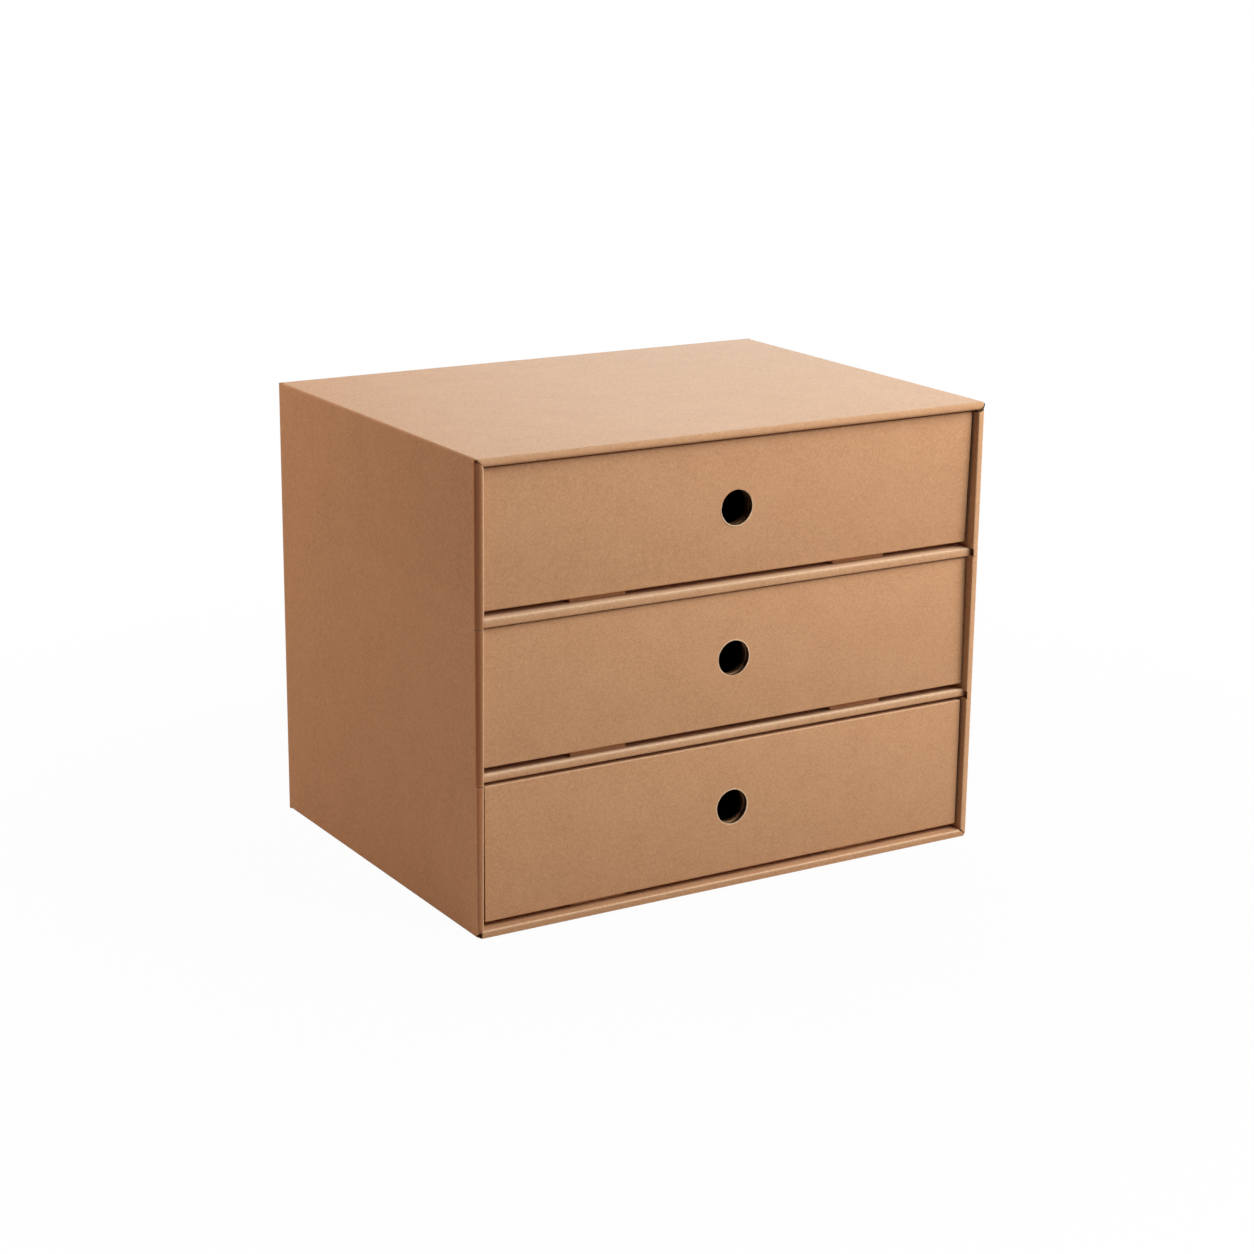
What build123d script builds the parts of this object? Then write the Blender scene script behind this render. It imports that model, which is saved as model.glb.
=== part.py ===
"""Desk drawer unit folded from corrugated card: a lined casing, two shelves and three drawers."""
import os

from build123d import *

os.makedirs("parts", exist_ok=True)

# Sizes in millimetres. X is the width, the drawers open towards -Y, Z is the height.
case_width = 330.0
case_depth = 246.0
case_height = 263.6
board = 2.2
fold_radius = 1.4
lip_crease_radius = 0.7
lip_inner_radius = 1.1
mitre_gap = 0.5
mitre_hole_diameter = 1.6
lip_slit = 0.35
shelf_setback = 3.0
shelf_nose_radius = 0.7
shelf_corner_radius = 3.0
lip_notch_play = 0.5
drawer_setback = 6.3
middle_drawer_stand = 1.5
lower_drawer_stand = 2.3
drawer_side_gap = 1.6
drawer_top_gap = 1.5
drawer_back_gap = 1.6
side_wall_drop = 3.0
corner_flap_length = 60.0
finger_hole_diameter = 20.4
tab_width = 35.0
tab_offset = 86.0
tab_drop = 3.6
tab_running_gap = 0.3
slot_play = 1.5
liner_play = 0.3
tuck_flap_depth = 30.0
dust_flap_length = 110.0
dust_flap_taper = 6.0

# Sizes that follow from the ones above.
lip = 2 * board
shelf_thickness = 2 * board
half_width = case_width / 2
half_depth = case_depth / 2
back_inner_y = half_depth - 2 * board
compartment = (case_height - 2 * lip - 2 * shelf_thickness) / 3
shelf_lower_z = lip + compartment
shelf_upper_z = shelf_lower_z + shelf_thickness + compartment
front_inner_y = -half_depth + board
drawer_lift = tab_drop + tab_running_gap
drawer_width = case_width - 2 * lip - 2 * drawer_side_gap
drawer_front_y = -half_depth + drawer_setback
drawer_back_y = back_inner_y - drawer_back_gap
drawer_height = compartment - drawer_lift - drawer_top_gap
hole_z = drawer_height / 2
overcut = 5.0


def block(x0, x1, y0, y1, z0, z1, mode=Mode.ADD):
    """A box between two corners, added to or cut from the part being built."""
    with Locations(((x0 + x1) / 2, (y0 + y1) / 2, (z0 + z1) / 2)):
        Box(abs(x1 - x0), abs(y1 - y0), abs(z1 - z0), mode=mode)


# Outer wrap: four panels folded round the casing. Its front edge is turned inwards as a double lip.
with BuildPart() as outer_wrap:
    block(-half_width, half_width, -half_depth, half_depth - board, 0, case_height)
    fillet(outer_wrap.edges().filter_by(Axis.Y), fold_radius)
    block(-half_width + lip, half_width - lip, -half_depth - overcut, half_depth,
          lip, case_height - lip, Mode.SUBTRACT)
    block(-half_width + board, half_width - board, front_inner_y, half_depth,
          board, case_height - board, Mode.SUBTRACT)
    lip_face = outer_wrap.faces().sort_by(Axis.Y)[0]
    fillet(lip_face.outer_wire().edges(), lip_crease_radius)
    lip_face = outer_wrap.faces().sort_by(Axis.Y)[0]
    fillet(lip_face.inner_wires()[0].edges(), lip_inner_radius)
    # The four corners of the lip are mitred, with a small hole where the creases meet.
    for side in (-1, 1):
        for level, turn in ((lip / 2, side * 45), (case_height - lip / 2, -side * 45)):
            with Locations(Location((side * (half_width - lip / 2), -half_depth, level), (0, turn, 0))):
                Box(3 * lip, 2 * board, mitre_gap, mode=Mode.SUBTRACT)
        for level in (mitre_hole_diameter, case_height - mitre_hole_diameter):
            with Locations(Location((side * (half_width - mitre_hole_diameter), -half_depth, level), (90, 0, 0))):
                Cylinder(mitre_hole_diameter / 2, 2 * board, mode=Mode.SUBTRACT)
        # Each shelf end leaves a notch in the side lip, and the lip is slit through below it.
        for level in (shelf_lower_z, shelf_upper_z):
            block(side * (half_width - lip - overcut), side * (half_width - board),
                  -half_depth - overcut, front_inner_y,
                  level - lip_slit, level + shelf_thickness + lip_notch_play, Mode.SUBTRACT)
            block(side * (half_width - lip - overcut), side * (half_width + overcut),
                  -half_depth - overcut, front_inner_y,
                  level - lip_slit, level, Mode.SUBTRACT)
outer_wrap.part.label = "outer_wrap"
export_step(outer_wrap.part, "parts/outer_wrap.step")

# Liners: the flaps that the lips run into, folded back against the inside of the wrap.
with BuildPart() as liner_top:
    block(-half_width + board, half_width - board, front_inner_y, back_inner_y,
          case_height - lip, case_height - board)
liner_top.part.label = "liner_top"
export_step(liner_top.part, "parts/liner_top.step")

with BuildPart() as liner_bottom:
    block(-half_width + board, half_width - board, front_inner_y,
          half_depth - board - tuck_flap_depth, board, lip)
liner_bottom.part.label = "liner_bottom"
export_step(liner_bottom.part, "parts/liner_bottom.step")

flap_levels = (
    ("lower", lip, shelf_lower_z),
    ("middle", shelf_lower_z + shelf_thickness, shelf_upper_z),
    ("upper", shelf_upper_z + shelf_thickness, case_height - lip),
)
for side_name, side in (("left", -1), ("right", 1)):
    for level_name, flap_bottom, flap_top in flap_levels:
        with BuildPart() as side_flap:
            block(side * (half_width - lip), side * (half_width - board),
                  front_inner_y, back_inner_y, flap_bottom, flap_top)
        side_flap.part.label = f"liner_{side_name}_{level_name}"
        export_step(side_flap.part, f"parts/liner_{side_name}_{level_name}.step")

# Shelves: double card with a rounded nose, held at both ends between the side flaps.
for level_name, shelf_bottom in (("lower", shelf_lower_z), ("upper", shelf_upper_z)):
    with BuildPart() as shelf:
        block(-half_width + board, half_width - board, -half_depth + shelf_setback, back_inner_y,
              shelf_bottom, shelf_bottom + shelf_thickness)
        fillet(shelf.edges().filter_by(Axis.Z).group_by(Axis.Y)[0], shelf_corner_radius)
        front_faces = shelf.faces().filter_by(Axis.Z)
        nose_edges = [edge for face in front_faces for edge in face.edges()
                      if edge.center().Y < -half_depth + shelf_setback + shelf_corner_radius]
        fillet(nose_edges, shelf_nose_radius)
    shelf.part.label = f"shelf_{level_name}"
    export_step(shelf.part, f"parts/shelf_{level_name}.step")

# Back: one panel hinged on the top panel, its tuck flap behind the bottom liner, and two dust flaps.
with BuildPart() as back_panel:
    block(-half_width, half_width, half_depth - board, half_depth, 0, case_height)
    fillet(back_panel.edges().filter_by(Axis.Y), fold_radius)
    fillet(back_panel.faces().sort_by(Axis.Y)[-1].edges(), fold_radius)
    block(-half_width + board + liner_play, half_width - board - liner_play,
          half_depth - board - tuck_flap_depth + liner_play, half_depth - board, board, lip)
back_panel.part.label = "back_panel"
export_step(back_panel.part, "parts/back_panel.step")

for side_name, side in (("left", -1), ("right", 1)):
    with BuildPart() as dust_flap:
        block(side * (half_width - board), side * (half_width - board - dust_flap_length),
              back_inner_y, half_depth - board, lip, case_height - lip)
        free_corners = dust_flap.edges().filter_by(Axis.Y).sort_by(Axis.X)
        chamfer(free_corners[:2] if side > 0 else free_corners[2:], dust_flap_taper)
    dust_flap.part.label = f"dust_flap_{side_name}"
    export_step(dust_flap.part, f"parts/dust_flap_{side_name}.step")


def drawer_tray(floor):
    """Bottom and outer walls of one drawer, with the side walls' corner flaps inside both ends."""
    top = floor + drawer_height
    half = drawer_width / 2
    with BuildPart() as tray:
        block(-half, half, drawer_front_y, drawer_back_y, floor, top)
        fillet(tray.edges(), fold_radius)
        block(-half + board, half - board, drawer_front_y + board, drawer_back_y - board,
              floor + board, top - board, Mode.SUBTRACT)
        block(-half - overcut, half + overcut, drawer_front_y + 3 * board, drawer_back_y - 3 * board,
              top - side_wall_drop, top + overcut, Mode.SUBTRACT)
        block(-half + board, half - board, drawer_front_y + 3 * board, drawer_back_y - 3 * board,
              floor + board, top + overcut, Mode.SUBTRACT)
        for side in (-1, 1):
            flap_x0 = side * (half - board)
            flap_x1 = side * (half - board - corner_flap_length)
            flap_top = top - board
            block(flap_x0, flap_x1, drawer_front_y + board, drawer_front_y + 2 * board,
                  floor + board, flap_top)
            block(flap_x0, flap_x1, drawer_back_y - 2 * board, drawer_back_y - board,
                  floor + board, flap_top)
            # Slots in the bottom for the two tabs of each end liner.
            slot_x0 = side * tab_offset - tab_width / 2 - slot_play
            slot_x1 = side * tab_offset + tab_width / 2 + slot_play
            for wall_y, inward in ((drawer_front_y, 1), (drawer_back_y, -1)):
                block(slot_x0, slot_x1, wall_y + inward * (2 * board - liner_play),
                      wall_y + inward * (3 * board + liner_play),
                      floor - overcut, floor + board, Mode.SUBTRACT)
        with Locations(Location((0, drawer_front_y, floor + hole_z), (90, 0, 0))):
            Cylinder(finger_hole_diameter / 2, 4 * board, mode=Mode.SUBTRACT)
    return tray.part


def end_liner(floor, wall_y, inward, has_hole):
    """Inner layer of a drawer end. Its two tabs go down through the bottom and bear the drawer."""
    half = drawer_width / 2 - board - liner_play
    outer_y = wall_y + inward * 2 * board
    inner_y = wall_y + inward * 3 * board
    with BuildPart() as liner:
        block(-half, half, outer_y, inner_y, floor + board, floor + drawer_height - board)
        for side in (-1, 1):
            block(side * tab_offset - tab_width / 2, side * tab_offset + tab_width / 2,
                  outer_y, inner_y, floor - tab_drop, floor + board)
        if has_hole:
            with Locations(Location((0, inner_y, floor + hole_z), (90, 0, 0))):
                Cylinder(finger_hole_diameter / 2, 4 * board, mode=Mode.SUBTRACT)
    return liner.part


# Each drawer stands a little further forward than the one above it.
drawer_levels = (
    ("lower", lip + drawer_lift, lower_drawer_stand),
    ("middle", shelf_lower_z + shelf_thickness + drawer_lift, middle_drawer_stand),
    ("upper", shelf_upper_z + shelf_thickness + drawer_lift, 0.0),
)
for level_name, drawer_floor, stand_forward in drawer_levels:
    pieces = (
        ("tray", drawer_tray(drawer_floor)),
        ("front_liner", end_liner(drawer_floor, drawer_front_y, 1, True)),
        ("back_liner", end_liner(drawer_floor, drawer_back_y, -1, False)),
    )
    for piece_name, piece in pieces:
        piece = piece.moved(Location((0, -stand_forward, 0)))
        piece.label = f"drawer_{level_name}_{piece_name}"
        export_step(piece, f"parts/drawer_{level_name}_{piece_name}.step")
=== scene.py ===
"""Desk drawer unit folded from corrugated card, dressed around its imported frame."""
import bisect
import math

import bmesh
import bpy
from bpy.props import FloatProperty, FloatVectorProperty, IntProperty, PointerProperty
from mathutils import Matrix, Vector, noise


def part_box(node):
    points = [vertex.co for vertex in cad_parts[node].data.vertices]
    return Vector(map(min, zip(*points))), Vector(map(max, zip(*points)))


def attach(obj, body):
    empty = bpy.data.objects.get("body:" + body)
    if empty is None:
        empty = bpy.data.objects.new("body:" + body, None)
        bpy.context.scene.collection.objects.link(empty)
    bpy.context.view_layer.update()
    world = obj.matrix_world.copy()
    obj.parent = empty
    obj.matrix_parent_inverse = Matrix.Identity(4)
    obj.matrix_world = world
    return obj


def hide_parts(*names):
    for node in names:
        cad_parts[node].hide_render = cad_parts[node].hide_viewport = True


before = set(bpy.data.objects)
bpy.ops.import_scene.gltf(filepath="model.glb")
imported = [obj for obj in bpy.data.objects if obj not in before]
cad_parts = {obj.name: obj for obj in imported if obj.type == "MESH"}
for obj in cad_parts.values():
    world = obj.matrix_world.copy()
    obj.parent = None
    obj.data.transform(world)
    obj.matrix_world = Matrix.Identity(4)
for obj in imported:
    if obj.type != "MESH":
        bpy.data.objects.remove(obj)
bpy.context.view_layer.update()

bl_info = {
    "name": "Card drawer unit",
    "version": (1, 0, 0),
    "blender": (4, 5, 0),
    "location": "View3D > Sidebar > Drawer unit",
    "description": "Builds a folded card desk drawer unit with three drawers",
    "category": "Object",
}

MM = 0.001
# Faces that meet at more than this angle keep a sharp edge between them.
SHARP = math.radians(38)
LEVELS = ("lower", "middle", "upper")
SIDES = (("left", -1), ("right", 1))

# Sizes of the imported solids, in metres.
wrap_low, wrap_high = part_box("outer_wrap")
back_low, back_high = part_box("back_panel")
front_y = wrap_low.y
rear_y = back_high.y
half_width = wrap_high.x
height = wrap_high.z
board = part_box("liner_left_lower")[1].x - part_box("liner_left_lower")[0].x
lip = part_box("liner_bottom")[1].z


class CardSizes(bpy.types.PropertyGroup):
    paper: FloatProperty(
        name="Paper thickness", description="Thickness of one paper layer of the board",
        default=0.3 * MM, unit="LENGTH")
    flute_pitch: FloatProperty(
        name="Flute pitch", description="Distance between two waves of the board's core",
        default=3.9 * MM, unit="LENGTH")
    fold_radius: FloatProperty(
        name="Fold radius", description="Outer radius of a folded edge", default=1.4 * MM, unit="LENGTH")
    drawer_fold: FloatProperty(
        name="Drawer fold radius", description="Outer radius of a drawer's folded edges",
        default=0.9 * MM, unit="LENGTH")
    hole_radius: FloatProperty(
        name="Finger hole radius", description="Radius of the finger hole in each drawer",
        default=10.2 * MM, unit="LENGTH")
    tab_half: FloatProperty(
        name="Tab half width", description="Half the width of a locking tab",
        default=17.5 * MM, unit="LENGTH")
    tab_offset: FloatProperty(
        name="Tab offset", description="Distance of a tab's middle from the drawer's middle",
        default=86 * MM, unit="LENGTH")
    tab_play: FloatProperty(
        name="Tab slot play", description="Free length at each end of a tab in its slot",
        default=1.5 * MM, unit="LENGTH")
    seed: IntProperty(name="Seed", description="Start of the small unevenness of edges", default=7)


class CardColours(bpy.types.PropertyGroup):
    kraft: FloatVectorProperty(
        name="Kraft paper", description="Main colour of the brown paper",
        subtype="COLOR", default=(0.500, 0.248, 0.121))
    kraft_dark: FloatVectorProperty(
        name="Dark fibres", description="Colour of the darker fibres",
        subtype="COLOR", default=(0.348, 0.152, 0.066))
    kraft_light: FloatVectorProperty(
        name="Light fibres", description="Colour of the lighter fibres",
        subtype="COLOR", default=(0.632, 0.352, 0.195))
    # Worn crease colour: fold wear together with a painted highlight where creases catch the light.
    crease: FloatVectorProperty(
        name="Worn crease", description="Colour of paper that was stretched at a fold",
        subtype="COLOR", default=(0.750, 0.535, 0.365))
    # Painted shade: a warm dark painted on the left lip's steep strip, where it turns away from the light.
    painted_lip_shade: FloatVectorProperty(
        name="Pressed paper", description="Colour of paper pressed inwards beside a fold",
        subtype="COLOR", default=(0.600, 0.222, 0.098))
    cut_edge: FloatVectorProperty(
        name="Cut edge", description="Colour of the raw cut edge of the board",
        subtype="COLOR", default=(0.540, 0.300, 0.160))
    floor: FloatVectorProperty(
        name="Floor", description="Colour of the plain floor", subtype="COLOR", default=(0.50, 0.48, 0.46))


class Flow:
    """A shader socket that takes part in arithmetic. Each expression adds its own Math node."""

    def __init__(self, tree, socket):
        self.tree = tree
        self.socket = socket

    def _math(self, operation, *values):
        return add_node(self.tree, "ShaderNodeMath", {"operation": operation}, values).out(0)

    def __add__(self, other):
        return self._math("ADD", self, other)

    def __sub__(self, other):
        return self._math("SUBTRACT", self, other)

    def __rsub__(self, other):
        return self._math("SUBTRACT", other, self)

    def __mul__(self, other):
        return self._math("MULTIPLY", self, other)

    def clamped(self):
        return self._math("MINIMUM", self._math("MAXIMUM", self, 0.0), 1.0)

    __radd__ = __add__
    __rmul__ = __mul__


class Made:
    """A node that was just made. out() gives its outputs by number or name."""

    def __init__(self, tree, node):
        self.tree = tree
        self.node = node

    def out(self, key):
        return Flow(self.tree, self.node.outputs[key])


def add_node(tree, kind, settings=None, inputs=None):
    """Makes a node, then its settings, then the values or links of its sockets, by name or in order."""
    node = tree.nodes.new(kind)
    for name, value in (settings or {}).items():
        if name == "stops":
            for stop, (position, level) in zip(node.color_ramp.elements, value):
                stop.position = position
                stop.color = (level, level, level, 1.0)
        else:
            setattr(node, name, value)
    pairs = inputs.items() if isinstance(inputs, dict) else enumerate(inputs or ())
    for key, value in pairs:
        if isinstance(value, Flow):
            tree.links.new(value.socket, node.inputs[key])
        else:
            node.inputs[key].default_value = value
    return Made(tree, node)


def mix_colours(tree, mask, first, second):
    """First where the mask is 0, second where it is 1."""
    values = {"Factor": mask, 6: first if isinstance(first, Flow) else (*first, 1.0),
              7: second if isinstance(second, Flow) else (*second, 1.0)}
    return add_node(tree, "ShaderNodeMix", {"data_type": "RGBA"}, values).out(2)


def fresh_tree(owner):
    """The emptied node tree of a material or a world."""
    owner.use_nodes = True
    owner.node_tree.nodes.clear()
    return owner.node_tree


def card_material(name, tint, sheen, raw):
    """Uncoated kraft paper: soft mottling, fine fibres, sparse flecks, creases painted lighter as fold wear
    with a painted highlight, and painted shade where the crease value is below 0.
    """
    colours = bpy.context.scene.card_colours
    material = bpy.data.materials.new(name)
    tree = fresh_tree(material)
    place = add_node(tree, "ShaderNodeTexCoord").out("Object")

    def cloud(scale, detail, rough, stretch=(1, 1, 1), turn=(0, 0, 0)):
        values = {"Vector": place, "Scale": stretch, "Rotation": turn}
        where = add_node(tree, "ShaderNodeMapping", {}, values).out(0)
        values = {"Vector": where, "Scale": scale, "Detail": detail, "Roughness": rough}
        return add_node(tree, "ShaderNodeTexNoise", {}, values).out(0)

    def ramp(value, low, high):
        stops = {"stops": ((low, 0.0), (high, 1.0))}
        return add_node(tree, "ShaderNodeValToRGB", stops, {"Fac": value}).out(0)

    def tinted(shade, share=1.0):
        return [channel * tint * share for channel in shade]

    broad = ramp(cloud(42, 3, 0.5), 0.3, 0.7)
    mottle = ramp(cloud(170, 3, 0.55), 0.3, 0.7)
    grain = ramp(cloud(620, 3, 0.65), 0.3, 0.7)
    fibre_a = ramp(cloud(650, 2, 0.5, (1, 1, 5), (0.3, 0.5, 0.2)), 0.36, 0.72)
    fibre_b = ramp(cloud(650, 2, 0.5, (5, 1, 1), (0.9, 0.2, 0.7)), 0.36, 0.72)
    flecks = ramp(cloud(1500, 1, 0.5), 0.68, 0.76)
    crease_wear_and_light = add_node(tree, "ShaderNodeAttribute", {"attribute_name": "crease"}).out("Fac")

    dark, light = tinted(colours.kraft_dark), tinted(colours.kraft_light)
    layers = (
        (mottle * 0.50, dark),
        (grain * 0.72, light),
        (fibre_a * 0.62, dark),
        (fibre_b * 0.46, light),
        (broad * 0.20, light),
        (flecks * 0.45, tinted(colours.kraft_dark, 0.7)),
        # Crease values above 0 paint fold wear with a painted highlight; values below 0 paint shade.
        ((crease_wear_and_light * (0.55 + 0.6 * grain)).clamped(), tinted(colours.crease)),
        ((crease_wear_and_light * -0.9).clamped(), tinted(colours.painted_lip_shade)),
    )
    colour = tinted(colours.cut_edge if raw else colours.kraft)
    for mask, shade in layers:
        colour = mix_colours(tree, mask, colour, shade)

    relief = grain * 0.5 + fibre_a * 0.6 + fibre_b * 0.6 + mottle * 0.5
    values = {"Strength": 0.35, "Distance": 0.08 * MM, "Height": relief}
    bump = add_node(tree, "ShaderNodeBump", {}, values).out(0)
    shader = add_node(tree, "ShaderNodeBsdfPrincipled", {}, {
        "Base Color": colour, "Roughness": 0.62 + 0.12 * grain, "Normal": bump,
        "Specular IOR Level": 4 * sheen, "Sheen Weight": sheen, "Sheen Roughness": 0.6}).out(0)
    add_node(tree, "ShaderNodeOutputMaterial", {}, {"Surface": shader})
    return material


# Each kind of card: its material, how light it is against plain paper, and its sheen.
KINDS = {
    "paper": ("kraft_paper", 1.0, 0.05),
    "raw": ("cut_board_edge", 1.0, 0.05),
    "core": ("fluted_core", 0.82, 0.05),
    "inside": ("kraft_inner_paper", 0.97, 0.05),
    # Near-black card: painted shade for the walls of gaps, notches and finger holes, and for the painted
    # shadow strip at the top right.
    "hole": ("painted_shade_near_black", 0.15, 0.0),
}


def kraft(kind):
    """The shared material of a kind of card, made once."""
    name, tint, sheen = KINDS[kind]
    return bpy.data.materials.get(name) or card_material(name, tint, sheen, kind == "raw")


def fade(value, end):
    """1 at zero, and less until it is 0 at the end."""
    return max(0.0, 1 - value / end)


def drawn_in(radius, over):
    """How far a quarter round draws in, at a distance past its start."""
    return radius - math.sqrt(max(radius ** 2 - over ** 2, 0.0))


def waver(position, seed, scale, amount):
    """A smooth unevenness of a fold line, the same on each run."""
    here = Vector((position / scale, seed * 3.71, seed * 1.37))
    return amount * noise.noise(here)


def flute_tick(position, seed, pitch, amount):
    """A small bump where a fold crosses a wave of the core, of another height at each wave."""
    number = math.floor(position / pitch)
    phase = position / pitch - number
    size = 0.35 + 0.65 * abs(noise.noise(Vector((number * 0.73, seed * 2.3, 4.1)))) * 2.0
    return amount * min(size, 1.3) * math.sin(math.pi * phase) ** 2


def show(name, data):
    """A new object in the scene, from a mesh, a light or a camera."""
    made = bpy.data.objects.new(name, data)
    bpy.context.scene.collection.objects.link(made)
    return made


def solid_from(name, work, *kinds):
    """A mesh object from a finished bmesh, with its kinds of card."""
    mesh = bpy.data.meshes.new(name)
    work.to_mesh(mesh)
    work.free()
    for kind in kinds:
        mesh.materials.append(kraft(kind))
    return show(name, mesh)


def finish_mesh(name, verts, faces, creases, angle, kinds, face_kinds=None):
    """A mesh object with smooth faces, sharp corners, its crease values and its materials."""
    mesh = bpy.data.meshes.new(name)
    mesh.from_pydata([tuple(v) for v in verts], [], faces)
    values = mesh.attributes.new("crease", "FLOAT", "POINT")
    values.data.foreach_set("value", creases)
    for kind in kinds:
        mesh.materials.append(kraft(kind))
    if face_kinds is not None:
        mesh.polygons.foreach_set("material_index", face_kinds)
    work = bmesh.new()
    work.from_mesh(mesh)
    bmesh.ops.recalc_face_normals(work, faces=work.faces)
    work.to_mesh(mesh)
    work.free()
    mesh.shade_smooth()
    mesh.set_sharp_from_angle(angle=angle)
    return show(name, mesh)


def tube_faces(rows, count, closed=False):
    """The faces between rows of points, each row a loop of the same count."""
    faces = []
    for j in range(rows if closed else rows - 1):
        n = (j + 1) % rows
        for i in range(count):
            k = (i + 1) % count
            faces.append((j * count + i, j * count + k, n * count + k, n * count + i))
    return faces


def ribbon(name, stations, section, kinds=("paper",), end_kind=0, angle=SHARP):
    """A card strip swept through its stations. section(station) gives (side a, side b, crease values)."""
    verts, creases, half = [], [], 0
    for station in stations:
        side_a, side_b, crease_wear_and_light = section(station)
        half = len(side_a)
        verts += list(side_a) + list(reversed(side_b))
        creases += list(crease_wear_and_light) + [0.0] * len(side_b)
    count = 2 * half
    faces = tube_faces(len(stations), count)
    face_kinds = [end_kind if i % count in (half - 1, count - 1) else 0 for i in range(len(faces))]
    for start in (0, (len(stations) - 1) * count):
        for i in range(half - 1):
            faces.append((start + i, start + i + 1, start + count - 2 - i, start + count - 1 - i))
            face_kinds.append(end_kind)
    return finish_mesh(name, verts, faces, creases, angle, kinds, face_kinds)


def join(name, parts):
    """One object from several, which keep their materials and crease values."""
    work = bmesh.new()
    mesh = bpy.data.meshes.new(name)
    for part in parts:
        for material in part.data.materials:
            if material.name not in mesh.materials:
                mesh.materials.append(material)
    for part in parts:
        start = len(work.faces)
        work.from_mesh(part.data)
        work.faces.ensure_lookup_table()
        slots = [mesh.materials.find(m.name) for m in part.data.materials]
        for face in work.faces[start:]:
            face.material_index = slots[min(face.material_index, len(slots) - 1)]
    work.to_mesh(mesh)
    work.free()
    drop(*parts)
    return show(name, mesh)


def box_mesh(name, low, high, bevel, kind, edge_kind="raw", thin_axis=None):
    """A plate of card with soft edges: paper on the faces across its thin axis, cut edge on the others."""
    work = bmesh.new()
    bmesh.ops.create_cube(work, size=1.0)
    low, high = Vector(map(min, low, high)), Vector(map(max, low, high))
    span = high - low
    for vert in work.verts:
        vert.co = low + Vector([(vert.co[i] + 0.5) * span[i] for i in range(3)])
    thin = min(range(3), key=lambda i: span[i]) if thin_axis is None else thin_axis
    bmesh.ops.bevel(work, geom=work.edges[:], offset=bevel, segments=2, profile=0.6, affect="EDGES")
    for face in work.faces:
        face.material_index = 0 if abs(face.normal[thin]) > 0.5 else 1
    plate = solid_from(name, work, kind, edge_kind)
    plate.data.shade_smooth()
    plate.data.set_sharp_from_angle(angle=SHARP)
    return plate


def cut(target, cutter):
    """Takes the cutter's volume out of the target, whose new faces get the cutter's material."""
    modifier = target.modifiers.new("cut", "BOOLEAN")
    modifier.operation = "DIFFERENCE"
    modifier.solver = "EXACT"
    modifier.object = cutter
    modifier.material_mode = "TRANSFER"
    graph = bpy.context.evaluated_depsgraph_get()
    mesh = bpy.data.meshes.new_from_object(target.evaluated_get(graph))
    target.modifiers.clear()
    if len(mesh.polygons) < len(target.data.polygons) / 2:
        raise RuntimeError(f"{target.name} lost its shape to {cutter.name}")
    old = target.data
    target.data = mesh
    bpy.data.meshes.remove(old)
    mesh.set_sharp_from_angle(angle=SHARP)


def drop(*objects):
    """Removes helper objects and their meshes."""
    for item in objects:
        mesh = item.data
        bpy.data.objects.remove(item)
        bpy.data.meshes.remove(mesh)


def cut_away(targets, cutters):
    """Cuts every cutter out of every target, then removes the cutters."""
    for target in targets:
        for cutter in cutters:
            cut(target, cutter)
    drop(*cutters)


def settle(piece, body, slot, *nodes):
    """Rides a piece on its body and hides the nodes it stands for. Its slot is not used."""
    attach(piece, body)
    if nodes:
        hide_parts(*nodes)


def spread(low, high, step):
    """Evenly spaced stations from low to high, about one step apart."""
    count = max(2, int(round((high - low) / step)) + 1)
    return [low + (high - low) * i / (count - 1) for i in range(count)]


def round_tail(radius, count):
    """Distances along a rounded end, closer together towards its tip."""
    return [radius * math.sin(math.pi / 2 * i / count) for i in range(1, count + 1)]


def stations_across(reach, tail, step):
    """Stations from one end to the other, a step apart, with the tail's distances at both ends."""
    start = reach - tail[-1]
    return [-start - t for t in reversed(tail)] + spread(-start, start, step) + [start + t for t in tail]


LIP_MM = lip / MM


def inner_round(inward, radius):
    """How far a lip end's rounded inner corner draws in."""
    return drawn_in(radius, max(0.0, inward - (LIP_MM - radius)))


def mitred(gap, notch=0.0, soft=0.0):
    """A lip end cut at 45 degrees: its gap, a notch at the outer edge and a rounded inner corner."""
    return lambda inward: inward + gap + notch * fade(inward, 1.8) + inner_round(inward, soft)


def squared(set_in, soft):
    """A lip end cut straight across, set in from the corner, with a rounded inner corner."""
    return lambda inward: set_in + inner_round(inward, soft)


def above(set_in, outer):
    """The end of the lip that stands on a squared one. Its outer part is cut away."""
    return lambda inward: LIP_MM + 0.12 - fade(inward, set_in) * (LIP_MM - outer)


def under_tongue(radius, gap):
    """The end of the lip that stops below a rounded one and follows its round."""
    def trim(inward):
        over = min(max(0.0, radius - (inward - 0.25)), radius)
        return LIP_MM - drawn_in(radius, over) + gap
    return trim


# Sizes of the lips, all in millimetres. How far the rounded end of the top lip stays in from the side:
TONGUE_SET_IN = 0.9
# Radius of that round.
TONGUE_RADIUS = 3.4
# How each lip ends (low end, high end).
LIP_ENDS = {
    "top": (mitred(0.03, 0.5), squared(TONGUE_SET_IN, TONGUE_RADIUS)),
    "bottom": (squared(1.9, 1.2), mitred(0.35, 0.3, 1.8)),
    "left": (above(1.9, 2.2), mitred(0.08, 0.5)),
    "right": (mitred(0.30, 0.4), under_tongue(TONGUE_RADIUS, 1.7)),
}
# How much rounder the fold gets near the front at each lip's ends, and how far back that reaches.
LIP_ROUND = {"top": (0.2, 0.4), "bottom": (0.3, 1.8), "left": (0.3, 0.2), "right": (1.8, 0.6)}
ROUND_REACH = 14.0
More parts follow.
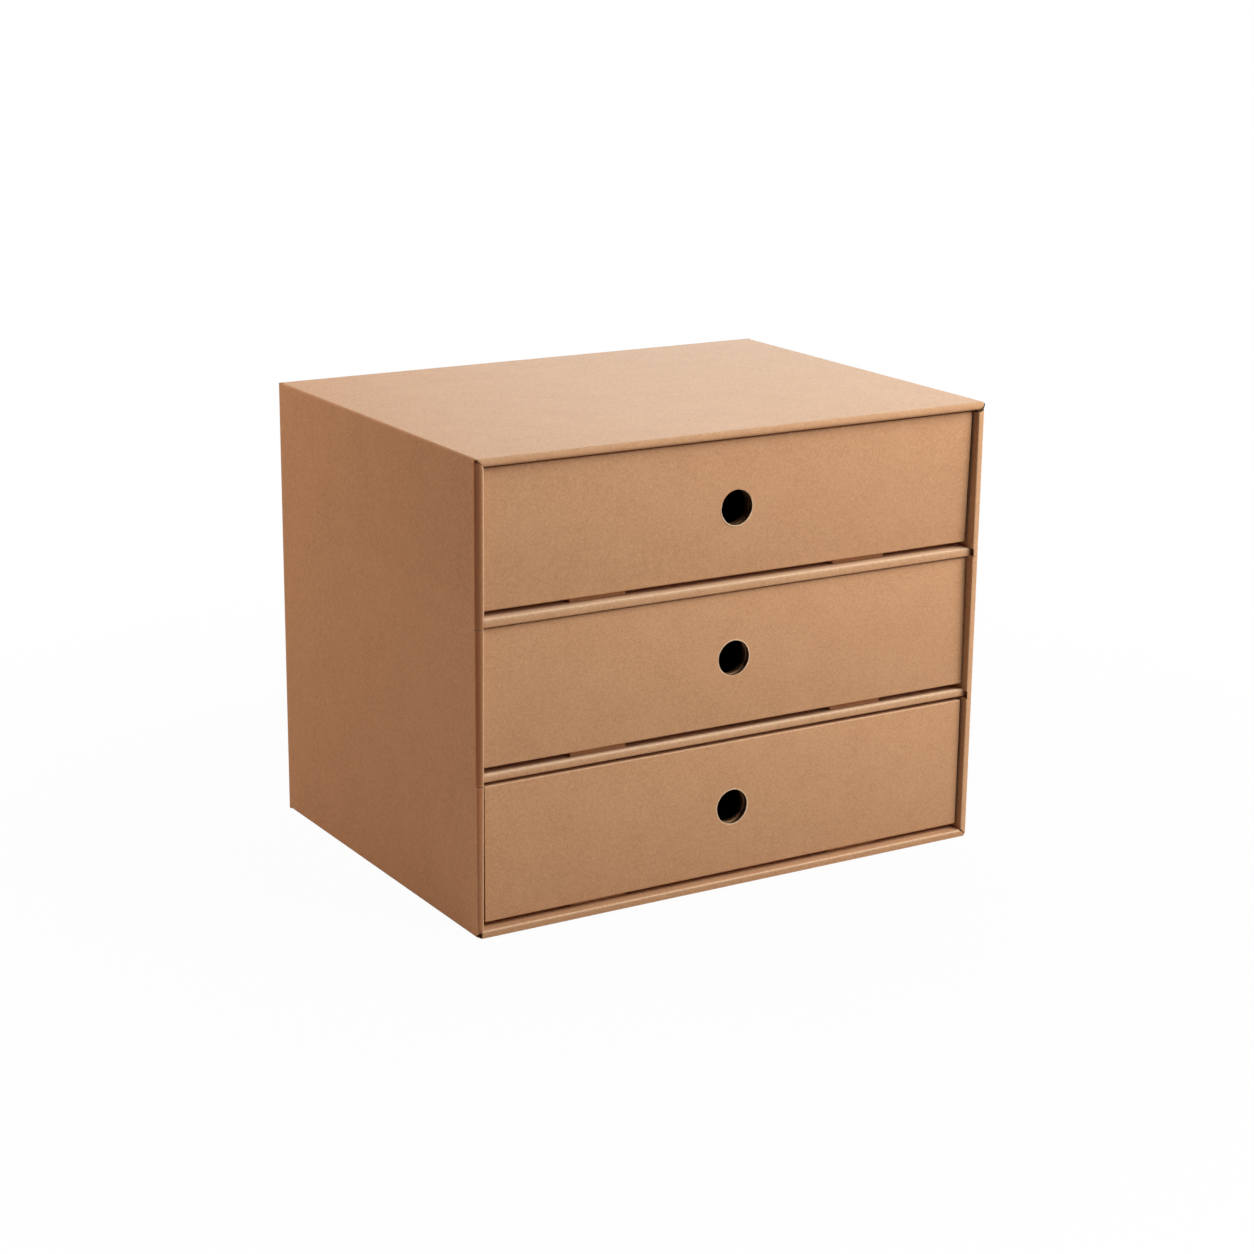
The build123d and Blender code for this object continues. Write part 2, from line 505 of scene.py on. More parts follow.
# How far behind the front the ends' cuts go, how far at the top lip's right end, and where they fade out.
CUT_DEPTH, TONGUE_CUT_DEPTH, CUT_FADE = 3.4, 5.4, 1.2
# Length at each end of a panel over which it is drawn in to follow its cut.
END_ZONE = 8.0
# The small hole where creases meet at the top left: its distances from the side and the top, and its radius.
CREASE_HOLE = (0.9, 1.6, 0.5)
# Depth of a lip's steep outer strip and of its flatter face, by drawer level from the lowest.
LIP_STEEP = {"top": (0.45,) * 3, "bottom": (0.35,) * 3, "left": (0.40, 0.80, 0.95), "right": (0.45,) * 3}
LIP_BEVEL = {
    "top": (0.25,) * 3, "bottom": (0.12,) * 3, "left": (0.90, 1.60, 1.85), "right": (0.60, 0.65, 0.75)}
# Width of the groove along a lip's outer crease.
GROOVE = {"top": 0.02, "bottom": 0.04, "left": 0.06, "right": 0.15}
# How much narrower the left lip is at the foot, and the height where it has its full width.
LEFT_NARROW, LEFT_FULL = 1.4, 200.0
# Height below which the left lip gets less painted shade, and the least share of it.
PAINTED_SHADE_FULL, PAINTED_SHADE_LEAST = 80.0, 0.4
# How far each shelf's notch goes into a side lip, and the height of the slit below the shelf.
SHELF_NOTCH = {"left": 0.8, "right": 0.6}
SLIT = 0.35
# How far the panels hang in behind the front, and the length over which that fades at their edges.
SAG_START, SAG_FADE = 6.0, 30.0


def lip_profile(side, bevel, steep):
    """Points (inward, depth, crease value, tick) round a lip, from the panel's outer face to its inner one. A
    crease value above 0 paints fold wear with a painted highlight; below 0 it paints shade.
    """
    total = bevel + steep
    groove = GROOVE[side]
    if side == "left":
        # The left lip's steep strip gets crease values below 0: painted shade.
        return [
            (0.00, total + 3.20, 0.0, 0.0), (0.00, total + 1.30, 0.0, 0.0), (0.00, total + 0.60, -0.4, 0.1),
            (groove / 2, total + 0.22, -1.0, 0.2), (0.10, total + 0.03, -1.0, 0.3),
            (0.24, total * 0.925, -1.0, 0.5), (0.60, total * 0.755, -1.0, 0.4),
            (1.15, total * 0.535, -1.0, 0.3), (1.75, total * 0.335, -1.0, 0.2),
            (2.40, total * 0.165, -0.8, 0.1), (3.00, total * 0.06, -0.4, 0.1),
            (3.55, total * 0.015, 0.2, 0.2), (3.95, 0.06, 0.6, 0.5), (4.18, 0.18, 0.7, 0.6),
            (4.34, 0.48, 0.3, 0.4), (4.40, 0.90, 0.05, 0.1), (4.40, 1.30, 0.0, 0.0),
        ]
    outer = [
        (0.00, total + 3.20, 0.0, 0.0), (0.00, total + 1.30, 0.0, 0.0), (0.02, total + 0.80, 0.0, 0.2),
        (groove, total + 0.46, 0.0, 0.4), (groove * 0.8 + 0.04, total + 0.20, 0.0, 0.4),
        (0.16, total - 0.04, 0.15, 1.0), (0.44, steep * 0.78 + bevel, 0.22, 1.0),
        (0.95, steep * 0.36 + bevel * 0.95, 0.08, 0.5), (1.55, steep * 0.10 + bevel * 0.82, 0.0, 0.2),
    ]
    if side == "top":
        return outer + [
            (2.20, 0.06, 0.0, 0.1), (2.80, 0.06, 0.0, 0.1), (3.30, 0.14, 0.0, 0.2), (3.72, 0.32, 0.0, 0.2),
            (4.02, 0.58, 0.0, 0.2), (4.24, 0.86, 0.0, 0.2), (4.36, 1.08, 0.0, 0.1), (4.40, 1.30, 0.0, 0.0),
        ]
    # How strongly the inner crease is painted lighter, as fold wear with a painted highlight: full on the
    # bottom lip, a quarter on the right one.
    wear_and_light = 1.0 if side == "bottom" else 0.25
    return outer + [
        (2.20, steep * 0.03 + bevel * 0.58, 0.0, 0.1), (2.90, bevel * 0.33, 0.0, 0.1),
        (3.50, bevel * 0.12 + 0.05, 0.15 * wear_and_light, 0.2), (3.88, 0.11, 0.75 * wear_and_light, 0.5),
        (4.16, 0.24, 0.9 * wear_and_light, 0.6), (4.34, 0.52, 0.45 * wear_and_light, 0.4), (4.40, 0.90, 0.0, 0.1),
        (4.40, 1.30, 0.0, 0.0),
    ]


def lip_inside(total):
    """Points (inward, depth) of the lip's hidden side, one for each point of its profile."""
    straight = [(2.20, total + past) for past in (3.20, 2.60, 2.30, 2.10, 1.95, 1.80)]
    return straight + [
        (2.22, total + 1.70), (2.25, total + 1.62), (2.30, 2.05), (2.45, 1.95), (2.65, 1.85), (2.90, 1.78),
        (3.20, 1.70), (3.50, 1.62), (3.80, 1.55), (4.05, 1.48), (4.25, 1.40),
    ]


def left_narrowing(z):
    """How much narrower the left lip is at a height."""
    return LEFT_NARROW * MM * fade(z, LEFT_FULL * MM)


def wrap_panel(side):
    """One panel of the outer wrap with its folded front lip, cut to shape at both ends."""
    sizes = bpy.context.scene.card_sizes
    radius = sizes.fold_radius
    flat = side in ("top", "bottom")
    reach = half_width if flat else height / 2
    middle = 0.0 if flat else height / 2
    rear = wrap_high.y - front_y
    zone, far_in = END_ZONE * MM, SAG_FADE * MM
    steps_back = spread(rear, 7 * MM, 14 * MM)
    shelf_levels = [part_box(f"shelf_{level}")[0].z for level in ("lower", "upper")]
    seed = sizes.seed + len(side)

    def place(u, inward, depth):
        y = front_y + depth
        if flat:
            return Vector((u, y, height - inward if side == "top" else inward))
        return Vector((half_width - inward if side == "right" else -half_width + inward, y, middle + u))

    def section(u0):
        level = 0 if flat else sum(middle + u0 > shelf_z for shelf_z in shelf_levels)
        bevel = LIP_BEVEL[side][level] + waver(u0, seed, 60 * MM, 0.12)
        steep = LIP_STEEP[side][level] + waver(u0, seed + 1, 40 * MM, 0.10)
        edge = waver(u0, seed + 2, 90 * MM, 0.10)
        high_end = u0 > 0
        trim = LIP_ENDS[side][high_end]
        rounder = LIP_ROUND[side][high_end] * MM
        cut_depth = (TONGUE_CUT_DEPTH if side == "top" and high_end else CUT_DEPTH) * MM
        width_share = 1 - left_narrowing(middle + u0) / lip if side == "left" else 1.0
        # Share of the left lip's painted shade kept at this height, less towards the foot.
        painted_lip_shade = min(1.0, max(PAINTED_SHADE_LEAST, (middle + u0) / (PAINTED_SHADE_FULL * MM)))

        def radius_at(depth):
            return radius + rounder * fade(depth, ROUND_REACH * MM) ** 2

        def limit(inward, depth):
            fold = max(inward, radius_at(depth) * (1 - math.cos(math.pi / 4)))
            share = min(1.0, max(0.0, (cut_depth - depth) / (CUT_FADE * MM)))
            return reach - fold - (trim(inward / MM) * MM - fold) * share

        def along(inward, depth):
            """The place along the panel, drawn in near its ends to follow their cut."""
            part = (abs(u0) - reach + zone) / zone
            if part <= 0:
                return u0
            return (1 if high_end else -1) * (reach - zone + part * (limit(inward, depth) - reach + zone))

        side_a, side_b, crease_wear_and_light = [], [], []
        front = [(a * MM * width_share, d * MM, w, t) for a, d, w, t in lip_profile(side, bevel, steep)]
        for inward, depth, wear_and_light, tick in [(0.0, d, 0.0, 0.0) for d in steps_back] + front:
            u = along(inward, depth)
            bend = radius_at(depth)
            lift = drawn_in(bend, max(0.0, abs(u) - (reach - bend)))
            bump = flute_tick(u0, seed, sizes.flute_pitch, 0.10 * MM) * tick
            pillow = 0.0
            if depth < 1.3 * MM:
                pillow = 0.35 * MM * fade(limit(inward, depth) - abs(u), 0.9 * MM) ** 2
            sag = 0.0
            if depth > SAG_START * MM:
                taut = min(1.0, (reach - abs(u)) / far_in) * min(1.0, (rear - depth) / far_in)
                sag = max(0.0, 0.08 + waver(u0 + depth, seed + 5, 120 * MM, 0.20)) * MM * taut
            a = max(inward + edge * MM * min(tick, 1.0) * 0.5 - bump * 0.5 + sag, lift, 0.0)
            side_a.append(place(u, a, max(depth - bump * 0.6, 0.02 * MM) + pillow))
            crease_wear_and_light.append(wear_and_light if wear_and_light > 0 else wear_and_light * painted_lip_shade)
        hidden = [(board, d) for d in steps_back]
        hidden += [(a * MM * (width_share if d < 2.1 else 1.0), d * MM) for a, d in lip_inside(bevel + steep)]
        for inward, depth in hidden:
            side_b.append(place(along(inward, depth), inward, depth))
        return side_a, side_b, crease_wear_and_light

    tail = [zone * (1 - (1 - i / 16) ** 1.7) for i in range(1, 17)]
    panel = ribbon(f"wrap_{side}_panel", stations_across(reach, tail, 1.0 * MM), section)
    if side in ("top", "left"):
        aside, below, hole_radius = (value * MM for value in CREASE_HOLE)
        place_of_hole = Vector((-half_width + aside, front_y, height - below))
        cut_away([panel], [round_cutter(place_of_hole, hole_radius, 7 * MM)])
    if not flat:
        sign = -1 if side == "left" else 1
        before, behind = front_y - 3 * MM, front_y + 3 * MM
        notch_end = half_width - lip + SHELF_NOTCH[side] * MM
        cutters = []
        for level in shelf_levels:
            slit = level - SLIT * MM
            cutters.append(box_mesh("slit", (sign * (half_width - 5 * MM), before, slit),
                                    (sign * (half_width + 3 * MM), behind, level), 0.01 * MM, "raw"))
            # The notch's cut walls get near-black painted shade.
            cutters.append(box_mesh("notch", (sign * (half_width - lip - 1 * MM), before, slit - 0.1 * MM),
                                    (sign * notch_end, front_y + 2.3 * MM, level + lip + 0.1 * MM),
                                    0.9 * MM, "hole"))
        cut_away([panel], cutters)
    settle(panel, "casing", "outer_card", "outer_wrap")


class DRAWERUNIT_OT_wrap(bpy.types.Operator):
    """Folds the four panels of the outer wrap, with their mitred front lips"""
    bl_idname = "drawer_unit.wrap"
    bl_label = "Outer wrap"

    def execute(self, context):
        for side in ("top", "bottom", "left", "right"):
            wrap_panel(side)
        return {"FINISHED"}


class DRAWERUNIT_OT_liners(bpy.types.Operator):
    """Lays the lips' inner flaps against the wrap"""
    bl_idname = "drawer_unit.liners"
    bl_label = "Inner flaps"

    def execute(self, context):
        seam = front_y + 1.3 * MM
        names = ["liner_top", "liner_bottom"] + [f"liner_{s}_{level}" for s, _ in SIDES for level in LEVELS]
        for name in names:
            low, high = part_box(name)
            low.y = seam
            if name.startswith("liner_left"):
                high.x -= left_narrowing(low.z)
            flap = box_mesh(f"{name}_flap", low, high, 0.22 * MM, "inside")
            settle(flap, "casing", "inner_card", name)
        return {"FINISHED"}


# How far each shelf's nose is bent up, and how far its lower layer hangs there, in millimetres.
NOSE_RISE = {"lower": 0.8, "upper": 0.0}
NOSE_SAG = {"lower": 0.0, "upper": 0.45}
# How far behind the front the bend begins, in millimetres.
NOSE_DEPTH = 6.0


def folded_shelf(level):
    """A sheet folded in two, its nose rounded, with small ticks where it crosses the core's waves."""
    sizes = bpy.context.scene.card_sizes
    low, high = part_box(f"shelf_{level}")
    reach = high.x
    thick = (high.z - low.z) / MM
    corner = 2.2 * MM
    seed = sizes.seed + (11 if level == "lower" else 17)
    mid = (low.z + high.z) / 2
    # The third number of each nose point is its crease value: fold wear with a painted highlight along the
    # nose and on the shelf top just behind it.
    nose = [
        (235.0, thick, 0.0, 0.0), (60.0, thick, 0.0, 0.0), (14.0, thick, 0.0, 0.0), (5.5, thick, 0.30, 0.0),
        (2.20, thick, 0.60, 0.2), (0.90, thick, 0.95, 0.8), (0.42, thick - 0.05, 1.0, 1.0),
        (0.16, thick - 0.18, 0.85, 0.8), (0.04, thick - 0.50, 0.50, 0.3), (0.02, thick - 1.5, 0.15, 0.1),
    ]
    under = [
        (235.0, 0.0), (60.0, 0.0), (12.0, 0.0), (4.0, 0.0), (1.8, 0.0), (1.0, 0.0), (0.60, 0.06),
        (0.28, 0.22), (0.08, 0.52), (0.02, 1.0),
    ]

    def section(x):
        over = max(abs(x) - (reach - corner), 0.0)
        pinch = 0.10 * (over / corner) ** 2
        start = low.y + drawn_in(corner, over) + max(0.0, 0.15 + waver(x, seed, 70 * MM, 0.25)) * MM

        def point(depth, z, rise):
            """Where a point of the fold lies, bent up near the front and pinched at the shelf's corners."""
            bent = low.z + z * MM + rise * MM * min(1.0, 1.6 * fade(depth, NOSE_DEPTH))
            return Vector((x, min(start + depth * MM, high.y), bent + (mid - bent) * pinch))

        side_a = []
        for depth, z, _, tick in nose:
            bump = flute_tick(x, seed, sizes.flute_pitch, 0.11) * tick
            down = (0.06 - bump * 0.5) * MM * tick
            side_a.append(point(depth, z, NOSE_RISE[level]) - Vector((0, bump * 0.7 * MM, down)))
        side_b = [point(depth, z, NOSE_RISE[level] - NOSE_SAG[level]) for depth, z in under]
        return side_a, side_b, [wear_and_light for _, _, wear_and_light, _ in nose]

    stations = stations_across(reach, round_tail(corner, 9), 1.0 * MM)
    shelf = ribbon(f"shelf_{level}_folded_sheet", stations, section, ("paper", "raw"))
    settle(shelf, "casing", "inner_card", f"shelf_{level}")


def front_prism(name, outline, depth, start=-1 * MM):
    """A prism along the depth, painted near-black as shade, also used to cut a gap whose walls then get that
    painted shade.
    """
    work = bmesh.new()
    ends = []
    for y in (front_y + start, front_y + depth):
        ends.append([work.verts.new((x, y, z)) for x, z in outline])
    work.faces.new(ends[0])
    work.faces.new(list(reversed(ends[1])))
    count = len(outline)
    for i in range(count):
        k = (i + 1) % count
        work.faces.new((ends[0][k], ends[0][i], ends[1][i], ends[1][k]))
    bmesh.ops.recalc_face_normals(work, faces=work.faces)
    return solid_from(name, work, "hole")


def tongue_gap(radius, width, side_width, upright):
    """The outline of the gap round the top lip's right end. Upright, it goes on up the side."""
    centre = (half_width - (TONGUE_SET_IN if upright else 0.25) * MM - radius, height - lip + radius)
    inner, outer = [], []
    for i in range(17):
        turn = math.radians(-102 + 102 * i / 16)
        away = radius + width + (side_width - width) * (i / 16) ** 2
        inner.append((centre[0] + radius * math.cos(turn), centre[1] + radius * math.sin(turn)))
        outer.append((centre[0] + away * math.cos(turn), centre[1] + away * math.sin(turn)))
    if upright:
        inner.append((inner[-1][0], height - 1.4 * MM))
        outer.append((outer[-1][0], height - 2.3 * MM))
    return inner + list(reversed(outer))


class DRAWERUNIT_OT_corners(bpy.types.Operator):
    """Opens the gaps where the lips meet at the corners, their cut walls painted near-black as shade, and
    adds a painted shadow strip at the top right
    """
    bl_idname = "drawer_unit.corners"
    bl_label = "Corner gaps"

    def execute(self, context):
        slope = 0.22 * MM
        mitre_in, mitre_out = lip - 0.2 * MM, 1.1 * MM
        notch = [(-half_width + x * MM, z * MM) for x, z in ((0.25, 1.5), (2.0, 2.9), (2.0, 0.5))]
        mitre = [(half_width - mitre_in - slope, mitre_in - slope), (half_width - mitre_out, mitre_out),
                 (half_width - mitre_in + slope, mitre_in + slope)]
        # The cut walls of these gaps take the prisms' near-black painted shade.
        gaps = (
            ("tongue_gap", tongue_gap(3.45 * MM, 1.6 * MM, 1.6 * MM, False), 7.5,
             ("wrap_right_panel", "liner_right_upper_flap", "liner_top_flap")),
            ("low_left_notch", notch, 6, ("wrap_left_panel", "wrap_bottom_panel")),
            ("low_right_mitre", mitre, 5.5,
             ("wrap_right_panel", "wrap_bottom_panel", "liner_right_lower_flap", "liner_bottom_flap")),
        )
        for name, outline, depth, targets in gaps:
            cutter = front_prism(name, outline, depth * MM)
            cut_away([bpy.data.objects[target] for target in targets], [cutter])
        # A near-black strip beside the top lip's rounded right end: a painted shadow where the gap there
        # falls dark.
        outline = tongue_gap(3.42 * MM, 1.5 * MM, 0.75 * MM, True)
        core = front_prism("wrap_right_painted_shadow_strip", outline, 5 * MM, 0.7 * MM)
        settle(core, "casing", "outer_card")
        return {"FINISHED"}


class DRAWERUNIT_OT_shelves(bpy.types.Operator):
    """Folds the two shelves"""
    bl_idname = "drawer_unit.shelves"
    bl_label = "Shelves"

    def execute(self, context):
        for level in ("lower", "upper"):
            folded_shelf(level)
        return {"FINISHED"}


def offset_path(corners, radius, inset):
    """A path that turns left at each corner, moved to its left, its corners rounded in six steps."""
    legs = [(b - a).normalized() for a, b in zip(corners, corners[1:])]
    lefts = [Vector((-leg.y, leg.x)) for leg in legs]
    bend = max(radius - inset, 0.12 * MM)
    path = [corners[0] + lefts[0] * inset]
    for i in range(1, len(corners) - 1):
        before, left = legs[i - 1], lefts[i - 1]
        centre = corners[i] + (left + lefts[i]) * inset - before * bend + left * bend
        for step in range(7):
            angle = math.pi / 2 * step / 6
            path.append(centre - left * bend * math.cos(angle) + before * bend * math.sin(angle))
    return path + [corners[-1] + lefts[-1] * inset]


def layer(name, near, far, crease_wear_and_light, stations, lay, kinds, end_kind):
    """A layer of folded board between two paths, laid out at each station."""
    def section(station):
        return [lay(station, p) for p in near], [lay(station, p) for p in far], crease_wear_and_light

    return ribbon(name, stations, section, kinds, end_kind)


def skin(name, corners, insets, stations, lay, fold_wear_and_light_at=None, kinds=("paper", "raw")):
    """One paper layer of folded board, between two insets from the path of its outer face."""
    radius = bpy.context.scene.card_sizes.drawer_fold
    near, far = (offset_path(corners, radius, inset) for inset in insets)
    crease_wear_and_light = [fold_wear_and_light_at(p) if fold_wear_and_light_at else 0.0 for p in near]
    return layer(name, near, far, crease_wear_and_light, stations, lay, kinds, 1)


def fluted_core(name, corners, stations, lay):
    """The core of folded board: a thin sheet in waves between the two paper layers, crushed at the folds."""
    sizes = bpy.context.scene.card_sizes
    path = offset_path(corners, sizes.drawer_fold, board / 2)
    lengths = [0.0]
    for a, b in zip(path, path[1:]):
        lengths.append(lengths[-1] + (b - a).length)
    total = lengths[-1]
    half_sheet = 0.11 * MM
    room = board / 2 - sizes.paper - half_sheet

    def at(s):
        s = min(max(s, 0.0), total)
        k = min(max(bisect.bisect_right(lengths, s) - 1, 0), len(path) - 2)
        return path[k].lerp(path[k + 1], (s - lengths[k]) / max(lengths[k + 1] - lengths[k], 1e-9))

    waves = round(total / sizes.flute_pitch)
    turn_rate = 2 * math.pi * waves / total
    near, far = [], []
    for i in range(waves * 10 + 1):
        s = total * i / (waves * 10)
        centre = at(s)
        tangent = (at(s + 0.1 * MM) - at(s - 0.1 * MM)).normalized()
        left = Vector((-tangent.y, tangent.x))
        behind, ahead = centre - at(s - 1.5 * MM), at(s + 1.5 * MM) - centre
        turn = behind.angle(ahead, 0.0)
        swing = room * max(0.1, 1 - turn)
        slope = swing * turn_rate * math.cos(turn_rate * s)
        across = (left - tangent * slope).normalized() * half_sheet
        middle = centre + left * swing * math.sin(turn_rate * s)
        near.append(middle - across)
        far.append(middle + across)

    return layer(name, near, far, [0.0] * len(near), stations, lay, ("core",), 0)


# Small unevenness of the folded drawers, in millimetres: how far the front's top leans back, how far the
# bottom hangs down at the front, how far its right edge stands out, and how far the finger hole is cut off
# centre.
LEAN = {"lower": 0.0, "middle": 0.9, "upper": -2.0}
SAG = {"lower": 0.9, "middle": 0.0, "upper": 0.6}
EDGE_OUT = {"lower": 0.0, "middle": 0.9, "upper": -0.2}
HOLE_SHIFT = {"lower": (-1.0, -0.45), "middle": (-1.0, 0.35), "upper": (-0.95, -0.25)}
# How far the side walls stand below the front, how far their corner flaps reach, and the play of layers.
WALL_DROP, CORNER_FLAP = 3.0 * MM, 60 * MM
PLAY, THIN_PLAY = 0.3 * MM, 0.05 * MM


def hole_centre(level):
    """The middle of a drawer's finger hole on its outer face."""
    low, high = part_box(f"drawer_{level}_tray")
    across, up = HOLE_SHIFT[level]
    return Vector((across * MM, low.y, (low.z + high.z) / 2 + up * MM))


def round_cutter(centre, radius, length, kind="raw"):
    """A cylinder along the depth, to cut a round hole whose wall gets a kind of card."""
    work = bmesh.new()
    where = Matrix.Translation(centre) @ Matrix.Rotation(math.pi / 2, 4, "X")
    bmesh.ops.create_cone(work, cap_ends=True, segments=72, radius1=radius, radius2=radius, depth=length,
                          matrix=where)
    return solid_from("round_cutter", work, kind)


def hole_cutter(level):
    """A cylinder to cut a drawer's finger hole, whose wall it paints near-black as shade."""
    return round_cutter(hole_centre(level), bpy.context.scene.card_sizes.hole_radius, 20 * MM, "hole")


def slot_cutters(low, high):
    """Blocks to cut the slots in a drawer's bottom that its tabs go through."""
    sizes = bpy.context.scene.card_sizes
    reach = sizes.tab_half + sizes.tab_play
    cutters = []
    for x in (-sizes.tab_offset, sizes.tab_offset):
        for wall, inward in ((low.y, 1), (high.y, -1)):
            near = wall + inward * (2 * board - PLAY)
            far = wall + inward * (3 * board + PLAY)
            cutters.append(box_mesh("slot_cutter", (x - reach, near, low.z - 4 * MM),
                                    (x + reach, far, low.z + board + 0.4 * MM), 0.02 * MM, "raw"))
    return cutters


def folded_tray(level):
    """The drawer's blank: bottom, end walls with their folded tops, side walls and corner flaps."""
    sizes = bpy.context.scene.card_sizes
    name = f"drawer_{level}"
    low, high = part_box(f"{name}_tray")
    seed = sizes.seed + 23 + LEVELS.index(level)
    radius = sizes.drawer_fold
    band = 3 * board
    reach = high.x
    sag = SAG[level] * MM

    def lay(x, point):
        """A point of the end walls and the bottom. The bottom's sides curve up to the side walls."""
        lift = drawn_in(radius, max(abs(x) - (reach - radius), 0.0)) * fade(point.y - low.z, board)
        rise = (point.y - low.z) / (high.z - low.z)
        ahead = 1 - (point.x - low.y) / (high.y - low.y)
        at_front = point.x < low.y + 4 * board
        lean = LEAN[level] * MM * rise if at_front else 0.0
        out = EDGE_OUT[level] * MM * max(0.0, x / reach) if at_front else 0.0
        tick = 0.0
        if point.y > high.z - radius or point.y < low.z + radius:
            tick = flute_tick(x, seed, 5.3 * MM, 0.05 * MM) * (1 if point.x < 0 else -1)
        return Vector((x + out, point.x + tick + lean, point.y + lift - sag * (1 - rise) * ahead))

    # Paints the top folds of the end walls lighter: fold wear with a painted highlight.
    def fold_wear_and_light_at(point):
        at_end = min(abs(point.x - low.y), abs(point.x - high.y)) < radius * 0.9
        return 0.42 if at_end and point.y > high.z - radius * 0.7 else 0.0

    stations = stations_across(reach, round_tail(radius, 4), 2.6 * MM)
    strip = [Vector(p) for p in (
        (low.y + band, high.z - board), (low.y + band, high.z), (low.y, high.z), (low.y, low.z),
        (high.y, low.z), (high.y, high.z), (high.y - band, high.z), (high.y - band, high.z - board))]
    inner_ends = [Vector((y, high.z)) for y in (low.y + band - board, high.y - band + board)]
    inner_strip = [inner_ends[0]] + strip[2:6] + [inner_ends[1]]
    core_ends = [reach - radius, reach - radius / 2, reach - 0.25 * MM]
    core_stations = [-x for x in reversed(core_ends)] + core_ends
    inner_insets = (board - sizes.paper, board)
    layers = [
        skin("outer_skin", strip, (0.0, sizes.paper), stations, lay, fold_wear_and_light_at),
        skin("inner_skin", inner_strip, inner_insets, stations, lay, None, ("inside", "raw")),
        fluted_core("core", strip, core_stations, lay),
    ]
    cut_away(layers, [hole_cutter(level)] + slot_cutters(low, high))

    def stand(z, point):
        return Vector((point.x, point.y, z))

    foot, wall_top = low.z + board, high.z - WALL_DROP
    near, far = low.y + board + THIN_PLAY, high.y - board - THIN_PLAY
    levels = [foot, high.z - board - 20 * MM, wall_top]
    for _, sign in SIDES:
        side, free = sign * reach, sign * (reach - board - CORNER_FLAP)
        turns = [(free, near), (side, near), (side, far), (free, far)]
        wall = [Vector(p) for p in (turns if sign > 0 else reversed(turns))]
        layers += [
            skin("wall_outer_skin", wall, (0.0, sizes.paper), levels, stand),
            skin("wall_inner_skin", wall, inner_insets, levels, stand, None, ("inside", "raw")),
            fluted_core("wall_core", wall, [foot, wall_top - 0.3 * MM], stand),
            box_mesh("wall_foot", (side, low.y + board, low.z + radius - sag - THIN_PLAY),
                     (sign * (reach - sizes.paper), high.y - board, foot + THIN_PLAY),
                     0.02 * MM, "paper", "paper", 0),
        ]
    settle(join(f"{name}_folded_blank", layers), name, "drawer_card", f"{name}_tray")


def end_liner(level, end):
    """The inner layer of a drawer's end with its two locking tabs."""
    sizes = bpy.context.scene.card_sizes
    name = f"drawer_{level}"
    tray_low, tray_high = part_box(f"{name}_tray")
    low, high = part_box(f"{name}_{end}_liner")
    inward = 1 if end == "front" else -1
    wall = tray_low.y if end == "front" else tray_high.y
    near, far = wall + inward * 2 * board, wall + inward * (3 * board - THIN_PLAY)
    foot = tray_low.z + board
    plate = box_mesh("liner_plate", (low.x, near, foot), (high.x, far, tray_high.z - 0.4 * MM),
                     0.25 * MM, "inside", "raw", 1)
    if end == "front":
        cut_away([plate], [hole_cutter(level)])
    parts = [plate]
    for x in (-sizes.tab_offset, sizes.tab_offset):
        parts.append(box_mesh("tab_tip", (x - sizes.tab_half, near, low.z),
                              (x + sizes.tab_half, far, foot + 0.5 * MM), 0.35 * MM, "paper", "raw", 1))
    settle(join(f"{name}_{end}_turned_in_layer", parts), name, "drawer_card", f"{name}_{end}_liner")


def ring(name, centre, profile, wear_and_light, kind):
    """A closed ring round a hole. profile(out) gives its points as distances from the axis and depths."""
    verts = []
    around = 96
    for i in range(around):
        angle = 2 * math.pi * i / around
        out = Vector((math.cos(angle), 0, math.sin(angle)))
        verts += [centre + out * away + Vector((0, depth, 0)) for away, depth in profile(out)]
    faces = tube_faces(around, len(verts) // around, True)
    return finish_mesh(name, verts, faces, [wear_and_light] * len(verts), math.radians(60), (kind,))


def hole_rim(level):
    """The thin rim that die cutting leaves round a finger hole, painted lighter as wear with a painted
    highlight, and the walls of its two layers, painted near-black as shade.
    """
    name = f"drawer_{level}"
    centre = hole_centre(level) + Vector((0, LEAN[level] * MM / 2, 0))
    seed = bpy.context.scene.card_sizes.seed + 41 + LEVELS.index(level)
    radius = bpy.context.scene.card_sizes.hole_radius
    inner, outer = radius - 0.10 * MM, radius + 0.20 * MM

    def rim(out):
        wide = (0.34 + 0.12 * noise.noise(Vector((out.x * 2.5, out.z * 2.5, seed)))) * MM
        tall = (0.13 + 0.05 * noise.noise(Vector((out.x * 4, out.z * 4, seed + 3)))) * MM
        turns = [2 * math.pi * k / 8 for k in range(8)]
        return [(outer + math.cos(t) * wide, 0.02 * MM - math.sin(t) * tall) for t in turns]

    # The rim's crease value of 1 paints it lighter: wear with a painted highlight.
    parts = [ring("rim", centre, rim, 1.0, "paper")]
    # The walls get near-black painted shade.
    for near, far in ((0.22 * MM, board), (2 * board + 0.1 * MM, 3 * board)):
        wall = [(inner, near), (inner, far), (outer, far), (outer, near)]
        parts.append(ring("wall", centre, lambda out, wall=wall: wall, 0.0, "hole"))
    settle(join(f"{name}_finger_hole_edge", parts), name, "drawer_card")


class DRAWERUNIT_OT_drawers(bpy.types.Operator):
    """Folds the three drawers, each a blank with turned-in ends and a finger hole"""
    bl_idname = "drawer_unit.drawers"
    bl_label = "Drawers"

    def execute(self, context):
        for level in LEVELS:
            folded_tray(level)
            end_liner(level, "front")
            end_liner(level, "back")
            hole_rim(level)
        return {"FINISHED"}


